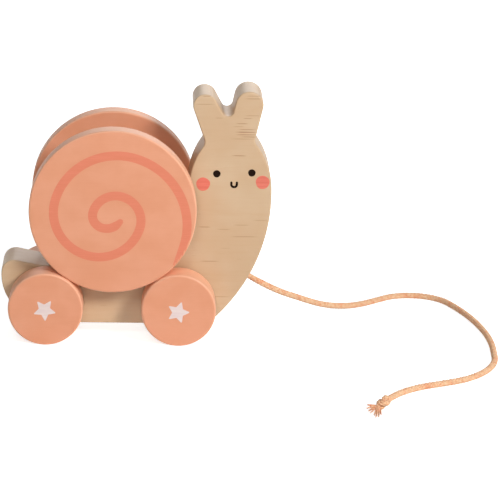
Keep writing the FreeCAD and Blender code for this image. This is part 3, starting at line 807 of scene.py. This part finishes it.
def make_frayed_end(root, direction, material, draw):
    """The cord's untwisted end: a fan of wisps, most of which sink to the floor."""
    left = UP.cross(direction).normalized()
    vertices = []
    faces = []
    tints = []
    for number, (turn, rise, length) in enumerate(WISPS):
        share = 2 * number / (len(WISPS) - 1) - 1
        yaw = math.radians(turn)
        start = root - direction * 0.8 * MM + left * share * WISP_ROOT_SPREAD
        heading = direction * math.cos(yaw) + left * math.sin(yaw)
        heading.z = rise / length
        before = len(vertices)
        add_wisp(start, heading.normalized(), length * MM, vertices, faces, draw)
        tints += [draw.random()] * (len(vertices) - before)
    piece = mesh_object("cord_frayed_end", vertices, faces, material)
    paint_attribute(piece, "tint", tints)
    return piece


def make_cord():
    """Replaces the plain cord: braided stretches that each cross one joint, and the end."""
    draw = random.Random(7)
    cotton = cord_cotton("cord_cotton", srgb(230, 137, 96), srgb(237, 188, 146), srgb(246, 212, 176))
    frayed = cord_cotton("frayed_cotton", srgb(216, 104, 76), srgb(236, 174, 130), srgb(248, 208, 172))
    line = cord_line()
    ending = (line[-1] - line[-2]).normalized()
    ending.z = 0
    ending.normalize()
    knot = knot_curve(line[-1], ending)
    plain = smooth_curve(line, BRAID_STEP)
    tied_path = smooth_curve([line[-2], line[-1]] + knot, BRAID_STEP)
    whole = plain + tied_path[round(TRACE_STEP / BRAID_STEP) + 1:]
    frames = carried_frames(whole)
    tied_from = len(plain)

    hinges = [Vector(JOINTS[name]["pos_m"]) for name in CORD_JOINTS]
    at_hinge = [min(range(tied_from), key=lambda i: (whole[i] - hinge).length) for hinge in hinges]

    def radius_at(index):
        """Snug in the hole, fuller outside it and pulled tight in the knot."""
        outside = min(max((index - at_hinge[0]) * BRAID_STEP / BRAID_SWELL, 0.0), 1.0)
        tied = min(max((index - tied_from + TIGHTEN_STEPS / 2) / TIGHTEN_STEPS, 0.0), 1.0)
        free = CORD_RADIUS + (BRAID_RADIUS - CORD_RADIUS) * outside
        return free + (KNOT_RADIUS - free) * tied

    cuts = [0] + [(a + b) // 2 for a, b in zip(at_hinge, at_hinge[1:])]
    cuts.append((at_hinge[-1] + tied_from) // 2)
    for number, hinge in enumerate(hinges):
        first, last = cuts[number], cuts[number + 1]
        name = "braid_" + CORD_JOINTS[number]
        piece = braid(name, frames[first:last + 1], first, radius_at, cotton, draw)
        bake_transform(piece)
        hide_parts("cord_anchor" if number == 0 else CORD_CHAIN[number - 1])
    rest = frames[cuts[-1]:]
    tied = braid("braid_end_knot", rest, cuts[-1], radius_at, cotton, draw)
    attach(tied, "cord_tail")
    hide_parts("cord_tail")
    tassel = make_frayed_end(whole[-1], ending, frayed, draw)
    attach(tassel, "cord_tail")


# ---------------------------------------------------------------- finishes of the frame's parts
def finish_parts():
    """Gives every part of the frame its wood or paint."""
    def cover(node, material):
        NODES[node].data.materials.clear()
        NODES[node].data.materials.append(material)

    cover("body", bare_wood())
    shell_paint = painted_wood("shell_paint", SHELL_CENTRE, SHELL_RADIUS, SHELL_ROUND)
    for hand in ("left", "right"):
        cover("shell_disc_" + hand, shell_paint)
    for end, centre in AXLE_CENTRES.items():
        wheel_paint = painted_wood(f"wheel_paint_{end}", centre, WHEEL_RADIUS, WHEEL_ROUND)
        for hand in ("left", "right"):
            cover(f"wheel_{end}_{hand}", wheel_paint)
    beech = dowel_wood()
    for node in ("shell_axle", "front_axle", "rear_axle", "cord_plug"):
        cover(node, beech)


# ---------------------------------------------------------------- studio and camera
CAMERA_PLACE = Vector((19.0, -1515.7, 507.5)) * MM
CAMERA_YAW = math.radians(2.435)
CAMERA_PITCH = math.radians(17.02)
CAMERA_ROLL = math.radians(1.335)
CAMERA_LENS = 187.2
SENSOR_WIDTH = 36.0
FLOOR_REACH = 1.8
FLOOR_GLOW = 0.75
SKY_STRENGTH = 0.07
SKY_SEEN = 1.0
LIGHT_TARGET = Vector((0.02, 0.0, 0.06))
# Each light's name, place, diameter and power, and whether shiny surfaces reflect it.
LIGHTS = [
    ("key_softbox", (1.05, -1.15, 0.95), 0.5, 22.0, True),
    ("front_softbox", (-0.3, -1.65, 1.4), 0.7, 9.5, True),
    ("top_softbox", (0.1, 0.1, 1.5), 1.2, 0.6, True),
    ("back_softbox", (0.3, 1.9, 0.9), 1.4, 7.0, True),
    ("back_fill", (0.0, 2.0, 0.5), 1.4, 9.0, False),
]


def make_camera():
    data = bpy.data.cameras.new("camera")
    data.lens = CAMERA_LENS
    data.sensor_width = SENSOR_WIDTH
    camera = bpy.data.objects.new("camera", data)
    bpy.context.scene.collection.objects.link(camera)
    look = Vector((
        math.sin(CAMERA_YAW) * math.cos(CAMERA_PITCH),
        math.cos(CAMERA_YAW) * math.cos(CAMERA_PITCH),
        -math.sin(CAMERA_PITCH),
    ))
    camera.rotation_mode = "QUATERNION"
    camera.rotation_quaternion = (
        look.to_track_quat("-Z", "Y") @ Quaternion((0, 0, 1), CAMERA_ROLL)
    )
    camera.location = CAMERA_PLACE
    bpy.context.scene.camera = camera


def seen_directly(n):
    """1 for what the camera sees straight or as a reflection, 0 for light on a matt surface."""
    straight = n.add("LightPath", {}, output="Is Camera Ray")
    mirrored = n.add("LightPath", {}, output="Is Glossy Ray")
    return n.maths("MAXIMUM", straight, mirrored)


def make_floor():
    """A wide white floor under the wheels, with a little glow to keep its shadows light."""
    n = material_nodes("floor_paper")
    cloud = n.noise(n.scaled(n.place(), (0.004, 0.004, 0.004)))
    base = n.colour(cloud, (0.90, 0.90, 0.90, 1), (0.94, 0.94, 0.94, 1))
    glow = n.maths("MULTIPLY", seen_directly(n), FLOOR_GLOW)
    paper = n.finish(
        Base_Color=base, Roughness=0.9, Specular_IOR_Level=0.1,
        Emission_Color=(1, 1, 1, 1), Emission_Strength=glow,
    )
    corners = [(-1, -1), (1, -1), (1, 1), (-1, 1)]
    vertices = [(x * FLOOR_REACH, y * FLOOR_REACH, FLOOR_HEIGHT) for x, y in corners]
    mesh_object("floor", vertices, [(0, 1, 2, 3)], paper, smooth=False)


def make_sky():
    """White all round for the camera and for reflections, and dimmer as a source of light."""
    n = Nodes(bpy.data.worlds.new("studio"), "Background")
    strength = n.maths("MULTIPLY_ADD", seen_directly(n), SKY_SEEN - SKY_STRENGTH, SKY_STRENGTH)
    return n.finish(Color=(1.0, 1.0, 1.0, 1), Strength=strength)


def area_light(name, place, size, power, mirrored):
    """A round soft light that faces the toy; mirrored says whether shiny surfaces reflect it."""
    data = bpy.data.lights.new(name, "AREA")
    data.shape = "DISK"
    data.size = size
    data.energy = power
    light = bpy.data.objects.new(name, data)
    light.location = place
    light.rotation_mode = "QUATERNION"
    light.rotation_quaternion = (LIGHT_TARGET - Vector(place)).to_track_quat("-Z", "Y")
    light.visible_glossy = mirrored
    bpy.context.scene.collection.objects.link(light)


def make_studio():
    """Soft white light: a key from the right front, one in front, one above and two behind."""
    scene = bpy.context.scene
    scene.view_settings.view_transform = "Standard"
    scene.world = make_sky()
    for light in LIGHTS:
        area_light(*light)
    make_floor()


finish_parts()
make_prints()
make_cord()
make_camera()
make_studio()
